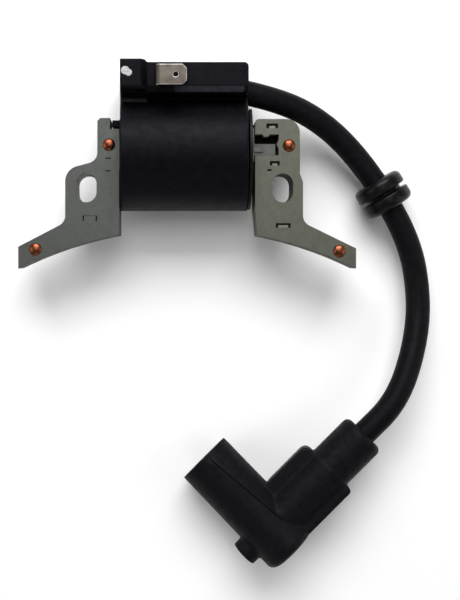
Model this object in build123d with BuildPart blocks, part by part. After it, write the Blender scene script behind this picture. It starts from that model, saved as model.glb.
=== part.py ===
from build123d import *
import math
import os

# Flywheel-magneto ignition coil: a laminated U-core, a potted coil and trigger module in one case,
# and a high-tension lead with a shroud grommet and an elbow spark plug cap.
# Millimetres. The coil lies on its potted back, front upwards. +Y runs from the core's feet to the
# terminal box. The origin is midway between the two mounting slots, on the rear faces of the legs.

os.makedirs("parts", exist_ok=True)

# ---- Driving dimensions ------------------------------------------------------------------------
BENCH_Z = -12.0  # plane of the potted back, which the coil, grommet and cap all lie on
CLEAR = 60.0  # more than any cut has to pass through

# Laminated core
STACK = 12.0
CORE_X = 0.85  # middle of the core, off the middle of the slots
LEG_INNER = 21.7  # inner face of each leg, from the middle of the core
FOOT_TIP = 54.1  # tip of each foot, from the middle of the core
LEFT_HEAD_X = -27.9  # outer edge of each leg beside the coil
LEFT_HEAD_Y = 22.4
LEFT_HEAD_CHAMFER = 0.9
LEFT_SHOULDER_X = -38.2  # outer edge of each leg beside its slot
LEFT_NOTCH_W = 3.0
LEFT_NOTCH_Y = 18.9
RIGHT_HEAD_X = 36.95
RIGHT_HEAD_Y = 22.1
RIGHT_HEAD_IN_R = 1.4
RIGHT_HEAD_OUT_R = 4.4
RIGHT_SHOULDER_X = 37.95
RIGHT_HEEL_X = 23.3  # inner corner of the right foot
KNEE_Y = -11.0  # where each leg turns out into its foot
KNEE_R = 3.5
FOOT_R = 122.0  # flywheel radius plus the air gap
FOOT_CENTRE_Y = -135.15
SLOT_X = 31.45
SLOT_W = 6.6
SLOT_L = 9.2
RIVET_R = 1.5
RIVET_HEAD_R = 2.0
RIVET_HEAD_H = 0.9
LEFT_RIVETS = [(-24.2, 13.9), (-47.7, -19.6)]
RIGHT_RIVETS = [(33.5, 13.6), (49.6, -20.2)]
TONGUE_END = 29.2  # end of the crossbar's tongue in the right leg's notch
TONGUE_LOW = 10.5
TONGUE_HIGH = 14.2
NOTCH_END = 30.1
NOTCH_HIGH = 17.1
NOTCH_BUMP = 0.7
NOTCH_FLOOR = 7.5  # below this the laminations close round the tongue
TONGUE_TOP = 11.0  # the tongue is two laminations thinner than the stack
BAR_END = 21.45  # full-height end of the crossbar
BAR_STEP = 0.7  # below the tongue's top, the bar's full width runs this much further

# Coil
AXIS_Y = 11.2
AXIS_Z = STACK / 2
BAR_W = 10.0
FIT = 0.1
BOBBIN_WALL = 1.1
WINDING_T = 1.7
WINDING_HALF_L = 17.0
FLANGE_T = 1.0
FLANGE_LIP = 0.15  # the flanges stand this far over the winding
FLANGE_R = 3.5
WINDING_R = 3.2
SEC_TUBE_R = 10.8
SEC_WALL = 1.0
SEC_FLANGE_R = 15.4
SEC_FLANGE_T = 0.9
SEC_COIL_R = 14.6
SEC_SECTIONS = 7
SEC_HALF_L = 17.9

# Case
CASE_LEFT = -20.8
CASE_RIGHT = 20.5
CASE_R = 18.3
CASE_WALL = 1.8
CASE_LEAN = 0.9  # the lower wall leans in this much from the axis to the back
CASE_DRAFT = 0.85  # each end leans in this much from the shoulder to the front
DRAFT_START_Z = 8.0
BOX_FRONT_Z = 23.0
BOX_LOW_Y = 28.9
BOX_BEVEL_Y = 1.9  # the shallow bevel along the box's lower front edge
BOX_BEVEL_Z = 1.0
BOX_TOP_Y = 38.2
VALLEY_Z = 13.5
COLLAR_RIGHT = -11.8
COLLAR_FRONT_Z = 24.8
COLLAR_TOP_Y = 38.9
COLLAR_LOW_Y = 29.6
COLLAR_BEVEL = 0.8
COLLAR_END_BEVEL = 1.7  # along the collar's right end, in front
COLLAR_TOP_BEVEL = 0.6
LEDGE_LOW = (27.1, 15.3)  # the thin ledge across the valley that the collar stands on, as (y, z)
LEDGE_HIGH = (28.0, 15.8)
END_PLATE_T = 0.95
END_PLATE_INSET = 0.4
END_PLATE_BACK_Z = -10.0
END_PLATE_HIGH_Y = 25.0
END_PLATE_SHOULDER_Z = 14.0
END_PLATE_CROWN_Z = 19.6
BOSS_LEFT = 9.5
BOSS_BACK_Z = 1.5
BOSS_LOW_Y = 26.9
BOSS_DEPTH = 7.0
CASE_CORNER_R = 1.3
NUB_W = 2.4  # clip nub on the left end
NUB_OUT = 2.5
NUB_Y = 20.8
NUB_BACK_Z = 2.0
NUB_L = 8.0
PARTITION_Y = BOX_LOW_Y + CASE_WALL
POTTING_DROP = 0.6  # the potting stands this far below the case's rim
STRAP_W = 1.2  # ground strap from the potted coil to the core
STRAP_T = 0.5
STRAP_Y = 18.8
STRAP_LOW_Y = 8.6
STRAP_FOOT_W = 0.9
STRAP_TAIL = 3.8
STRAP_TAIL_Y = 11.6

# Trigger module
BOARD_T = 1.2
BOARD_Y = PARTITION_Y + 0.2
BOARD_LEFT = -18.0
BOARD_RIGHT = 5.0
BOARD_BACK_Z = -9.0
BOARD_FRONT_Z = 16.0

# Stop-switch spade terminal
TAB_W = 6.3
TAB_T = 0.8
TAB_ROOT_X = -8.5
TAB_TIP_X = 0.6
TAB_TOP_Z = 28.0
TAB_Y = 33.45
TAB_BEND_R = 1.3
TAB_CHAMFER = 1.3
TAB_HOLE_R = 0.75
TAB_HOLE_X = -2.8
TAB_FOOT_Z = BOX_FRONT_Z - CASE_WALL  # the blade narrows to its solder leg behind the box's front wall
TAB_LEG_W = 3.0

# High-tension lead: the points of its route, in order from the coil to the cap
LEAD_R = 4.0
CORE_WIRE_R = 1.2
LEAD_ROUTE = [
    (11.0, 32.8, 8.5),
    (29.0, 30.1, 5.6),
    (46.6, 22.9, -1.4),
    (61.3, 8.0, -3.6),
    (75.5, -15.5, -3.6),
    (79.3, -35.5, -4.5),
    (76.9, -52.3, -1.0),
    (70.1, -69.8, 2.4),
    (58.1, -81.5, 2.4),
    (46.0, -93.6, 2.4),
]
SPIKE_R = 1.1
SPIKE_IN_LEAD = 8.0  # both contact spikes run this far into the lead
HV_TAIL = 4.0  # the coil's spike starts this far behind the lead's end
HV_POST_R = 0.8
HV_POST_L = 12.0

# Shroud grommet, on the straight of the lead between its fourth and fifth points
GROMMET_R = 8.4
GROMMET_T = 10.4
GROMMET_GROOVE_R = 6.3
GROMMET_GROOVE_W = 1.4
GROMMET_LIP_W = (GROMMET_T - GROMMET_GROOVE_W) / 2
GROMMET_ROUND = 0.46 * GROMMET_LIP_W
GROMMET_BORE_R = 4.25
GROMMET_PLACE = 10.7  # from the route's fourth point to the grommet's middle

# Spark plug cap: a cable arm and a plug arm at right angles, from the elbow
CAP_ELBOW = (28.5, -111.1, 2.4)
CAP_TILT = math.radians(9.0)  # the plug arm slopes down to rest its mouth on the bench
CABLE_DIR = (math.sqrt(0.5), math.sqrt(0.5), 0)
PLUG_DIR = (-math.sqrt(0.5) * math.cos(CAP_TILT), math.sqrt(0.5) * math.cos(CAP_TILT), -math.sin(CAP_TILT))
PLUG_TUBE_R = 9.4
PLUG_MOUTH = 31.4
PLUG_TAIL = 10.3
PLUG_BORE_R = 6.0  # grips the spark plug's insulator
PLUG_BORE_L = 13.0
PLUG_CHAMBER_R = 6.8  # wider, round the terminal sleeve
PLUG_CHAMBER_FLOOR = 3.4
TAIL_ROUND = 2.6
COLLAR_ROUND = 2.0
CABLE_BODY_R = 7.9
CABLE_BODY_END = 27.6
COLLAR_R = 7.6
COLLAR_END = 43.7
FIN_HALF_T = 4.6
FIN_PLUG_SIDE = 11.1
FIN_FAR_SIDE = 9.9
FIN_START = 10.6
FIN_ROOT = 9.0
FIN_FAR_ROUND = 1.2
FIN_PLUG_ROUND = 2.4
BUNG_R = 4.4
BUNG_END = 12.6
CABLE_BORE_R = LEAD_R + 0.08
SLEEVE_R = 4.2
SLEEVE_WALL = 0.5
SLEEVE_FOOT = 4.4
SLEEVE_TOP = 18.0
TERMINAL_R = SPIKE_R + 0.5
TERMINAL_FOOT = 6.8  # the terminal's stem starts this far behind the elbow
CLIP_WIRE_R = 0.45
CLIP_DEPTH = 5.0  # the clip ring lies this far inside the sleeve's mouth
CLIP_RING_R = SLEEVE_R + CLIP_WIRE_R + 0.03


def save(piece, name):
    """Label a finished piece and write it as its own STEP file."""
    piece.part.label = name
    export_step(piece.part, "parts/" + name + ".step")


def corner(sketch, x, y):
    """The sketch's vertex nearest to a place."""
    return sketch.vertices().sort_by_distance((x, y, 0))[0]


def circles(piece, radius):
    """The piece's circular edges of one radius."""
    round_edges = piece.edges().filter_by(GeomType.CIRCLE)
    return round_edges.filter_by(lambda edge: abs(edge.radius - radius) < 0.01)


def edges_at_x(piece, x):
    """The piece's edges that lie across the coil at one place along it."""
    return piece.edges().filter_by(lambda edge: abs(edge.center().X - x) < 0.01)


def foot_y(x):
    """Height of the foot's arc at a place across the core."""
    return FOOT_CENTRE_Y + math.sqrt(FOOT_R**2 - (x - CORE_X) ** 2)


# ---- Laminated core ----------------------------------------------------------------------------
LEFT_INNER_X = CORE_X - LEG_INNER
LEFT_TIP_X = CORE_X - FOOT_TIP
RIGHT_INNER_X = CORE_X + LEG_INNER
RIGHT_TIP_X = CORE_X + FOOT_TIP
BAR_LOW = AXIS_Y - BAR_W / 2

with BuildPart() as left_core_stack:
    with BuildSketch(Plane.XY) as left_plan:
        with BuildLine():
            Polyline(
                (LEFT_INNER_X, foot_y(LEFT_INNER_X)),
                (LEFT_INNER_X, LEFT_NOTCH_Y),
                (LEFT_INNER_X - LEFT_NOTCH_W, LEFT_NOTCH_Y),
                (LEFT_INNER_X - LEFT_NOTCH_W, LEFT_HEAD_Y),
                (LEFT_HEAD_X, LEFT_HEAD_Y),
                (LEFT_HEAD_X, 8.7),
                (LEFT_SHOULDER_X, 6.0),
                (LEFT_SHOULDER_X, KNEE_Y),
                (LEFT_TIP_X, -18.8),
                (LEFT_TIP_X, foot_y(LEFT_TIP_X)),
            )
            middle_x = (LEFT_TIP_X + LEFT_INNER_X) / 2
            ThreePointArc(
                (LEFT_TIP_X, foot_y(LEFT_TIP_X)),
                (middle_x, foot_y(middle_x)),
                (LEFT_INNER_X, foot_y(LEFT_INNER_X)),
            )
        make_face()
        chamfer(corner(left_plan, LEFT_HEAD_X, LEFT_HEAD_Y), LEFT_HEAD_CHAMFER)
        fillet(corner(left_plan, LEFT_HEAD_X, 8.7), 3.5)
        fillet(corner(left_plan, LEFT_SHOULDER_X, 6.0), 5.0)
        fillet(corner(left_plan, LEFT_SHOULDER_X, KNEE_Y), KNEE_R)
        with Locations((-SLOT_X, 0)):
            SlotOverall(SLOT_L, SLOT_W, rotation=90, mode=Mode.SUBTRACT)
        with Locations(*LEFT_RIVETS):
            Circle(RIVET_R, mode=Mode.SUBTRACT)
    extrude(amount=STACK)
    with BuildSketch(Plane.XY):
        with Locations(((LEFT_INNER_X + BAR_END) / 2, AXIS_Y)):
            Rectangle(BAR_END - LEFT_INNER_X, BAR_W)
    extrude(amount=STACK)
    with BuildSketch(Plane.XY):
        with Locations((BAR_END, BAR_LOW)):
            Rectangle(BAR_STEP, BAR_W, align=(Align.MIN, Align.MIN))
        with Locations((BAR_END, TONGUE_LOW)):
            Rectangle(TONGUE_END - BAR_END, TONGUE_HIGH - TONGUE_LOW, align=(Align.MIN, Align.MIN))
    extrude(amount=TONGUE_TOP)
save(left_core_stack, "left_core_stack")

with BuildPart() as right_core_stack:
    with BuildSketch(Plane.XY) as right_plan:
        with BuildLine():
            Polyline(
                (RIGHT_HEEL_X, foot_y(RIGHT_HEEL_X)),
                (RIGHT_INNER_X, -7.0),
                (RIGHT_INNER_X, TONGUE_LOW),
                (NOTCH_END, TONGUE_LOW),
                (NOTCH_END, 12.6),
                (NOTCH_END - 0.65, 14.0),
                (NOTCH_END, 15.4),
                (NOTCH_END, NOTCH_HIGH),
                (27.3, NOTCH_HIGH),
                (26.9, NOTCH_HIGH - NOTCH_BUMP),
                (25.3, NOTCH_HIGH - NOTCH_BUMP),
                (24.9, NOTCH_HIGH),
                (RIGHT_INNER_X, NOTCH_HIGH),
                (RIGHT_INNER_X, RIGHT_HEAD_Y),
                (RIGHT_HEAD_X, RIGHT_HEAD_Y),
                (RIGHT_HEAD_X, 4.6),
                (RIGHT_SHOULDER_X, 1.9),
                (RIGHT_SHOULDER_X, KNEE_Y),
                (RIGHT_TIP_X, -19.3),
                (RIGHT_TIP_X, foot_y(RIGHT_TIP_X)),
            )
            middle_x = (RIGHT_TIP_X + RIGHT_HEEL_X) / 2
            ThreePointArc(
                (RIGHT_TIP_X, foot_y(RIGHT_TIP_X)),
                (middle_x, foot_y(middle_x)),
                (RIGHT_HEEL_X, foot_y(RIGHT_HEEL_X)),
            )
        make_face()
        fillet(corner(right_plan, RIGHT_INNER_X, RIGHT_HEAD_Y), RIGHT_HEAD_IN_R)
        fillet(corner(right_plan, RIGHT_HEAD_X, RIGHT_HEAD_Y), RIGHT_HEAD_OUT_R)
        fillet(corner(right_plan, RIGHT_SHOULDER_X, KNEE_Y), KNEE_R)
        with Locations((SLOT_X, 0)):
            SlotOverall(SLOT_L, SLOT_W, rotation=90, mode=Mode.SUBTRACT)
        with Locations(*RIGHT_RIVETS):
            Circle(RIVET_R, mode=Mode.SUBTRACT)
    extrude(amount=STACK)
    with BuildSketch(Plane.XY):
        with Locations((RIGHT_INNER_X, TONGUE_HIGH + FIT)):
            Rectangle(NOTCH_END - RIGHT_INNER_X, NOTCH_HIGH - TONGUE_HIGH - FIT, align=(Align.MIN, Align.MIN))
    extrude(amount=NOTCH_FLOOR)
save(right_core_stack, "right_core_stack")

with BuildPart() as core_rivets:
    with BuildSketch(Plane.XY):
        with Locations(*LEFT_RIVETS, *RIGHT_RIVETS):
            Circle(RIVET_R)
    extrude(amount=STACK)
    for height, way in ((STACK, 1), (0, -1)):
        with BuildSketch(Plane.XY.offset(height)):
            with Locations(*LEFT_RIVETS, *RIGHT_RIVETS):
                Circle(RIVET_HEAD_R)
        extrude(amount=way * RIVET_HEAD_H)
    far_rims = core_rivets.edges().filter_by(GeomType.CIRCLE).group_by(Axis.Z)
    fillet(far_rims[0] + far_rims[-1], RIVET_HEAD_H * 0.95)
save(core_rivets, "core_rivets")


# ---- Case --------------------------------------------------------------------------------------
def coil_outline(radius, low_y, top_y, front_z, wall_y, floor_z):
    """Half-round coil space and box above it, down to the bench plane, as a (y, z) sketch."""
    valley_y = AXIS_Y + math.sqrt(radius**2 - (floor_z - AXIS_Z) ** 2)
    with BuildSketch() as outline:
        with BuildLine():
            Polyline((low_y, AXIS_Z), (low_y + CASE_LEAN, BENCH_Z), (top_y, BENCH_Z), (top_y, front_z),
                     (wall_y, front_z), (wall_y, floor_z), (valley_y, floor_z))
            ThreePointArc((valley_y, floor_z), (AXIS_Y, AXIS_Z + radius), (low_y, AXIS_Z))
        make_face()
    return outline.sketch


CAVITY_LEFT = CASE_LEFT + CASE_WALL
CAVITY_RIGHT = CASE_RIGHT - CASE_WALL
CAVITY_R = CASE_R - CASE_WALL
CAVITY_TOP_Y = BOX_TOP_Y - CASE_WALL
CAVITY_LENGTH = CAVITY_RIGHT - CAVITY_LEFT
BOBBIN_W = BAR_W + 2 * FIT + 2 * BOBBIN_WALL
BOBBIN_H = STACK + 2 * FIT + 2 * BOBBIN_WALL
lead_start = Vector(*LEAD_ROUTE[0])
lead_dir = (Vector(*LEAD_ROUTE[1]) - lead_start).normalized()
lead_plane = Plane(origin=lead_start, z_dir=lead_dir)

cavity_outline = coil_outline(
    CAVITY_R, AXIS_Y - CAVITY_R, CAVITY_TOP_Y, BOX_FRONT_Z - CASE_WALL, PARTITION_Y, AXIS_Z + 0.5
)

with BuildPart() as coil_case:
    with BuildSketch(Plane.YZ.offset(CASE_LEFT)):
        add(coil_outline(CASE_R, AXIS_Y - CASE_R, BOX_TOP_Y, BOX_FRONT_Z, BOX_LOW_Y, VALLEY_Z))
    extrude(amount=CASE_RIGHT - CASE_LEFT)
    with BuildSketch(Plane.YZ.offset(CASE_LEFT)):
        with BuildLine():
            Polyline((BOX_LOW_Y, BOX_FRONT_Z), (BOX_LOW_Y + BOX_BEVEL_Y, BOX_FRONT_Z),
                     (BOX_LOW_Y, BOX_FRONT_Z - BOX_BEVEL_Z), close=True)
        make_face()
    extrude(amount=CLEAR, mode=Mode.SUBTRACT)
    with BuildSketch(Plane.YZ.offset(CASE_LEFT)):
        with BuildLine():
            Polyline((LEDGE_LOW[0], 0), (COLLAR_TOP_Y, 0), (COLLAR_TOP_Y, COLLAR_FRONT_Z),
                     (COLLAR_LOW_Y + COLLAR_BEVEL, COLLAR_FRONT_Z),
                     (COLLAR_LOW_Y, COLLAR_FRONT_Z - COLLAR_BEVEL), LEDGE_HIGH, LEDGE_LOW, close=True)
        make_face()
    extrude(amount=COLLAR_RIGHT - CASE_LEFT)
    chamfer(edges_at_x(coil_case, COLLAR_RIGHT).sort_by(Axis.Z)[-1], COLLAR_END_BEVEL)
    chamfer(edges_at_x(coil_case, COLLAR_RIGHT).sort_by(Axis.Y)[-1], COLLAR_TOP_BEVEL)
    with BuildSketch(Plane.XZ.offset(-BOX_TOP_Y - 2)):
        with BuildLine():
            Polyline((CASE_LEFT, DRAFT_START_Z), (CASE_LEFT + CASE_DRAFT, COLLAR_FRONT_Z),
                     (CASE_LEFT - 1, COLLAR_FRONT_Z), (CASE_LEFT - 1, DRAFT_START_Z), close=True)
        make_face()
        with BuildLine():
            Polyline((CASE_RIGHT, DRAFT_START_Z), (CASE_RIGHT - CASE_DRAFT, COLLAR_FRONT_Z),
                     (CASE_RIGHT + 1, COLLAR_FRONT_Z), (CASE_RIGHT + 1, DRAFT_START_Z), close=True)
        make_face()
    extrude(amount=CLEAR, mode=Mode.SUBTRACT)
    box_ends = coil_case.edges().filter_by(Axis.Z).filter_by(lambda e: e.center().Y > BOX_TOP_Y - 0.1)
    fillet(box_ends.sort_by(Axis.X)[-1], CASE_CORNER_R)
    with BuildSketch(Plane.YZ.offset(CAVITY_LEFT)):
        add(cavity_outline)
    extrude(amount=CAVITY_LENGTH, mode=Mode.SUBTRACT)
    with BuildSketch(Plane.YZ.offset(BOSS_LEFT)):
        with Locations((BOSS_LOW_Y, BOSS_BACK_Z)):
            Rectangle(CAVITY_TOP_Y - BOSS_LOW_Y, BOSS_DEPTH, align=(Align.MIN, Align.MIN))
        with Locations((PARTITION_Y, BOSS_BACK_Z)):
            Rectangle(CAVITY_TOP_Y - PARTITION_Y, BOX_FRONT_Z - CASE_WALL - BOSS_BACK_Z,
                      align=(Align.MIN, Align.MIN))
    extrude(amount=CAVITY_RIGHT - BOSS_LEFT)
    with BuildSketch(Plane.YZ.offset(CASE_LEFT - 1)):
        with Locations((AXIS_Y, AXIS_Z)):
            Rectangle(BOBBIN_W, BOBBIN_H)
    extrude(amount=CLEAR, mode=Mode.SUBTRACT)
    with BuildSketch(lead_plane):
        Circle(LEAD_R)
    extrude(amount=CLEAR, mode=Mode.SUBTRACT)
    with BuildSketch(lead_plane):
        Circle(SPIKE_R)
    extrude(amount=-HV_TAIL, mode=Mode.SUBTRACT)
    with Locations((TAB_ROOT_X, TAB_Y, BOX_FRONT_Z - CASE_WALL / 2)):
        Box(TAB_T, TAB_W, CASE_WALL, mode=Mode.SUBTRACT)
    with Locations((CASE_RIGHT - CASE_WALL / 2, STRAP_Y, TONGUE_TOP + STRAP_T / 2)):
        Box(CASE_WALL + 0.2, STRAP_W, STRAP_T, mode=Mode.SUBTRACT)
    with BuildSketch(Plane.XY.offset(NUB_BACK_Z)):
        with Locations((CASE_LEFT + CASE_DRAFT / 2, NUB_Y)):
            Rectangle(NUB_OUT + CASE_DRAFT / 2, NUB_W, align=(Align.MAX, Align.CENTER))
    extrude(amount=NUB_L)
save(coil_case, "coil_case")

ENVELOPE_R = SEC_FLANGE_R + 0.3
with BuildPart() as potting_compound:
    with BuildSketch(Plane.YZ.offset(CAVITY_LEFT)):
        add(cavity_outline)
    extrude(amount=CAVITY_LENGTH)
    with BuildSketch(Plane.XY.offset(BENCH_Z)):
        Rectangle(2 * CLEAR, 2 * CLEAR)
    extrude(amount=POTTING_DROP, mode=Mode.SUBTRACT)
    with BuildSketch(Plane.YZ.offset(CAVITY_LEFT)):
        with Locations((AXIS_Y, AXIS_Z)):
            Circle(ENVELOPE_R)
    extrude(amount=CAVITY_LENGTH, mode=Mode.SUBTRACT)
    with BuildSketch(Plane.YZ.offset(BOSS_LEFT)):
        with Locations((BOSS_LOW_Y, BOSS_BACK_Z)):
            Rectangle(CLEAR, CLEAR, align=(Align.MIN, Align.MIN))
        with Locations((AXIS_Y, AXIS_Z)):
            Rectangle(2 * ENVELOPE_R, CLEAR, align=(Align.CENTER, Align.MIN))
    extrude(amount=CAVITY_RIGHT - BOSS_LEFT, mode=Mode.SUBTRACT)
    with BuildSketch(Plane.YZ.offset(CAVITY_LEFT)):
        with Locations((PARTITION_Y, BOARD_BACK_Z)):
            Rectangle(CAVITY_TOP_Y - PARTITION_Y, CLEAR, align=(Align.MIN, Align.MIN))
    extrude(amount=BOSS_LEFT - CAVITY_LEFT, mode=Mode.SUBTRACT)
save(potting_compound, "potting_compound")


# ---- Coil --------------------------------------------------------------------------------------
FLANGE_W = BOBBIN_W + 2 * (WINDING_T + FLANGE_LIP)
FLANGE_H = BOBBIN_H + 2 * (WINDING_T + FLANGE_LIP)
END_PLATE_R = CASE_R - END_PLATE_INSET

with BuildPart() as primary_bobbin:
    with BuildSketch(Plane.YZ.offset(CASE_LEFT)):
        with Locations((AXIS_Y, AXIS_Z)):
            Rectangle(BOBBIN_W, BOBBIN_H)
    extrude(amount=CASE_RIGHT - CASE_LEFT)
    for flange_x in (-WINDING_HALF_L - FLANGE_T, WINDING_HALF_L):
        with BuildSketch(Plane.YZ.offset(flange_x)):
            with Locations((AXIS_Y, AXIS_Z)):
                RectangleRounded(FLANGE_W, FLANGE_H, FLANGE_R)
        extrude(amount=FLANGE_T)
    with BuildSketch(Plane.YZ.offset(CASE_RIGHT)):
        with BuildLine():
            Polyline((AXIS_Y - END_PLATE_R, AXIS_Z), (AXIS_Y - END_PLATE_R + CASE_LEAN, END_PLATE_BACK_Z),
                     (END_PLATE_HIGH_Y, END_PLATE_BACK_Z), (END_PLATE_HIGH_Y, END_PLATE_SHOULDER_Z))
            ThreePointArc((END_PLATE_HIGH_Y, END_PLATE_SHOULDER_Z), (AXIS_Y + 2, END_PLATE_CROWN_Z),
                          (AXIS_Y - END_PLATE_R, AXIS_Z))
        make_face()
    extrude(amount=END_PLATE_T)
    with BuildSketch(Plane.YZ.offset(CASE_LEFT)):
        with Locations((AXIS_Y, AXIS_Z)):
            Rectangle(BAR_W + 2 * FIT, STACK + 2 * FIT)
    extrude(amount=CLEAR, mode=Mode.SUBTRACT)
    with Locations((CASE_RIGHT + END_PLATE_T / 2, STRAP_Y, TONGUE_TOP + STRAP_T / 2)):
        Box(END_PLATE_T + 0.2, STRAP_W, STRAP_T, mode=Mode.SUBTRACT)
save(primary_bobbin, "primary_bobbin")

with BuildPart() as primary_winding:
    with BuildSketch(Plane.YZ.offset(-WINDING_HALF_L)):
        with Locations((AXIS_Y, AXIS_Z)):
            RectangleRounded(BOBBIN_W + 2 * WINDING_T, BOBBIN_H + 2 * WINDING_T, WINDING_R)
            Rectangle(BOBBIN_W, BOBBIN_H, mode=Mode.SUBTRACT)
    extrude(amount=2 * WINDING_HALF_L)
save(primary_winding, "primary_winding")

SEC_OUTER_R = SEC_TUBE_R + SEC_WALL
SECTION_PITCH = (2 * SEC_HALF_L - SEC_FLANGE_T) / SEC_SECTIONS

with BuildPart() as secondary_bobbin:
    with BuildSketch(Plane.YZ.offset(-SEC_HALF_L)):
        with Locations((AXIS_Y, AXIS_Z)):
            Circle(SEC_OUTER_R)
            Circle(SEC_TUBE_R, mode=Mode.SUBTRACT)
    extrude(amount=2 * SEC_HALF_L)
    for step in range(SEC_SECTIONS + 1):
        with BuildSketch(Plane.YZ.offset(-SEC_HALF_L + step * SECTION_PITCH)):
            with Locations((AXIS_Y, AXIS_Z)):
                Circle(SEC_FLANGE_R)
                Circle(SEC_TUBE_R, mode=Mode.SUBTRACT)
        extrude(amount=SEC_FLANGE_T)
save(secondary_bobbin, "secondary_bobbin")

with BuildPart() as secondary_winding:
    for step in range(SEC_SECTIONS):
        with BuildSketch(Plane.YZ.offset(-SEC_HALF_L + SEC_FLANGE_T + step * SECTION_PITCH)):
            with Locations((AXIS_Y, AXIS_Z)):
                Circle(SEC_COIL_R)
                Circle(SEC_OUTER_R, mode=Mode.SUBTRACT)
        extrude(amount=SECTION_PITCH - SEC_FLANGE_T)
save(secondary_winding, "secondary_winding")

with BuildPart() as ground_strap:
    with BuildSketch(Plane.XY.offset(TONGUE_TOP)):
        with Locations((BAR_END, STRAP_LOW_Y)):
            Rectangle(STRAP_FOOT_W, STRAP_Y + STRAP_W / 2 - STRAP_LOW_Y, align=(Align.MIN, Align.MIN))
        with Locations((BAR_END, STRAP_TAIL_Y)):
            Rectangle(STRAP_TAIL, STRAP_W, align=(Align.MIN, Align.MIN))
        with Locations((CAVITY_RIGHT - 0.3, STRAP_Y)):
            Rectangle(BAR_END - CAVITY_RIGHT + 0.6, STRAP_W, align=(Align.MIN, Align.CENTER))
    extrude(amount=STRAP_T)
save(ground_strap, "ground_strap")

# ---- Trigger module ----------------------------------------------------------------------------
with BuildPart() as module_board:
    with BuildSketch(Plane.XZ.offset(-BOARD_Y)):
        with Locations((BOARD_LEFT, BOARD_BACK_Z)):
            Rectangle(BOARD_RIGHT - BOARD_LEFT, BOARD_FRONT_Z - BOARD_BACK_Z, align=(Align.MIN, Align.MIN))
    extrude(amount=-BOARD_T)
save(module_board, "module_board")

CHIP_FACE_Y = BOARD_Y + BOARD_T

# Each piece stands on the board: its places along x and z, and its width, height and depth
BOARD_PIECES = {
    "power_transistor": ([(-11.0, 8.5)], 9.6, 8.8, 3.4),
    "control_chip": ([(-12.0, -2.0)], 5.0, 4.0, 1.6),
    "charge_capacitor": ([(-2.0, 6.0)], 5.0, 7.2, 3.2),
    "module_resistors": ([(-2.0, -1.5), (-2.0, -3.8), (-2.0, -6.1)], 3.2, 1.4, 0.7),
    "module_diodes": ([(2.5, -2.0), (2.5, -5.0)], 1.6, 2.4, 1.3),
}
for piece_name, (places, width, height, depth) in BOARD_PIECES.items():
    with BuildPart() as board_piece:
        with BuildSketch(Plane.XZ.offset(-CHIP_FACE_Y)):
            with Locations(*places):
                Rectangle(width, height)
        extrude(amount=-depth)
    save(board_piece, piece_name)

with BuildPart() as stop_terminal:
    with BuildSketch(Plane.XZ.offset(-TAB_Y - TAB_W / 2)) as tab_side:
        with BuildLine():
            outer_x = TAB_ROOT_X - TAB_T / 2
            inner_x = TAB_ROOT_X + TAB_T / 2
            inner_z = TAB_TOP_Z - TAB_T
            Polyline((outer_x, TAB_FOOT_Z), (outer_x, TAB_TOP_Z), (TAB_TIP_X, TAB_TOP_Z),
                     (TAB_TIP_X, inner_z), (inner_x, inner_z), (inner_x, TAB_FOOT_Z), close=True)
        make_face()
        fillet(corner(tab_side, outer_x, TAB_TOP_Z), TAB_BEND_R)
        fillet(corner(tab_side, inner_x, inner_z), TAB_BEND_R - TAB_T)
    extrude(amount=TAB_W)
    tip_edges = stop_terminal.edges().filter_by(Axis.Z).group_by(Axis.X)[-1]
    chamfer(tip_edges, TAB_CHAMFER)
    with Locations((TAB_HOLE_X, TAB_Y, TAB_TOP_Z)):
        Hole(TAB_HOLE_R, depth=2 * TAB_T)
    with Locations((TAB_ROOT_X, TAB_Y, BOARD_FRONT_Z)):
        Box(TAB_T, TAB_LEG_W, TAB_FOOT_Z - BOARD_FRONT_Z, align=(Align.CENTER, Align.CENTER, Align.MIN))
save(stop_terminal, "stop_terminal")

# ---- High-tension lead -------------------------------------------------------------------------
route = [Vector(*point) for point in LEAD_ROUTE]
lead_radii = []
for before, at, after in zip(route, route[1:], route[2:]):
    turn = math.radians((at - before).get_angle(after - at))
    shorter = min((at - before).length, (after - at).length)
    lead_radii.append(0.45 * shorter / math.tan(turn / 2))
print("lead bend radii:", [round(radius, 1) for radius in lead_radii])

with BuildPart() as lead_insulation:
    with BuildLine() as lead_path:
        FilletPolyline(*route, radius=lead_radii)
    with BuildSketch(lead_plane):
        Circle(LEAD_R)
        Circle(CORE_WIRE_R, mode=Mode.SUBTRACT)
    sweep()
save(lead_insulation, "lead_insulation")

lead_length = sum(edge.length for edge in lead_path.edges())
lead_area = math.pi * (LEAD_R**2 - CORE_WIRE_R**2)
print("lead length:", round(lead_length, 1))
print("lead volume ratio:", round(lead_insulation.part.volume / (lead_area * lead_length), 5))

with BuildPart() as lead_conductor:
    with BuildLine():
        wire_route = [
            route[0] + lead_dir * SPIKE_IN_LEAD,
            *route[1:-1],
            route[-1] + Vector(*CABLE_DIR) * SPIKE_IN_LEAD,
        ]
        FilletPolyline(*wire_route, radius=lead_radii)
    with BuildSketch(Plane(origin=wire_route[0], z_dir=lead_dir)):
        Circle(CORE_WIRE_R)
    sweep()
save(lead_conductor, "lead_conductor")

with BuildPart() as hv_contact:
    with BuildSketch(Plane(origin=route[0] - lead_dir * HV_TAIL, z_dir=lead_dir)):
        Circle(SPIKE_R)
    extrude(amount=SPIKE_IN_LEAD + HV_TAIL)
    with BuildSketch(Plane(origin=route[0] - lead_dir * (HV_TAIL - HV_POST_R), z_dir=(0, 0, -1))):
        Circle(HV_POST_R)
    extrude(amount=HV_POST_L)
save(hv_contact, "hv_contact")

# ---- Shroud grommet ----------------------------------------------------------------------------
grommet_dir = (route[4] - route[3]).normalized()
grommet_middle = route[3] + grommet_dir * GROMMET_PLACE

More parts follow.
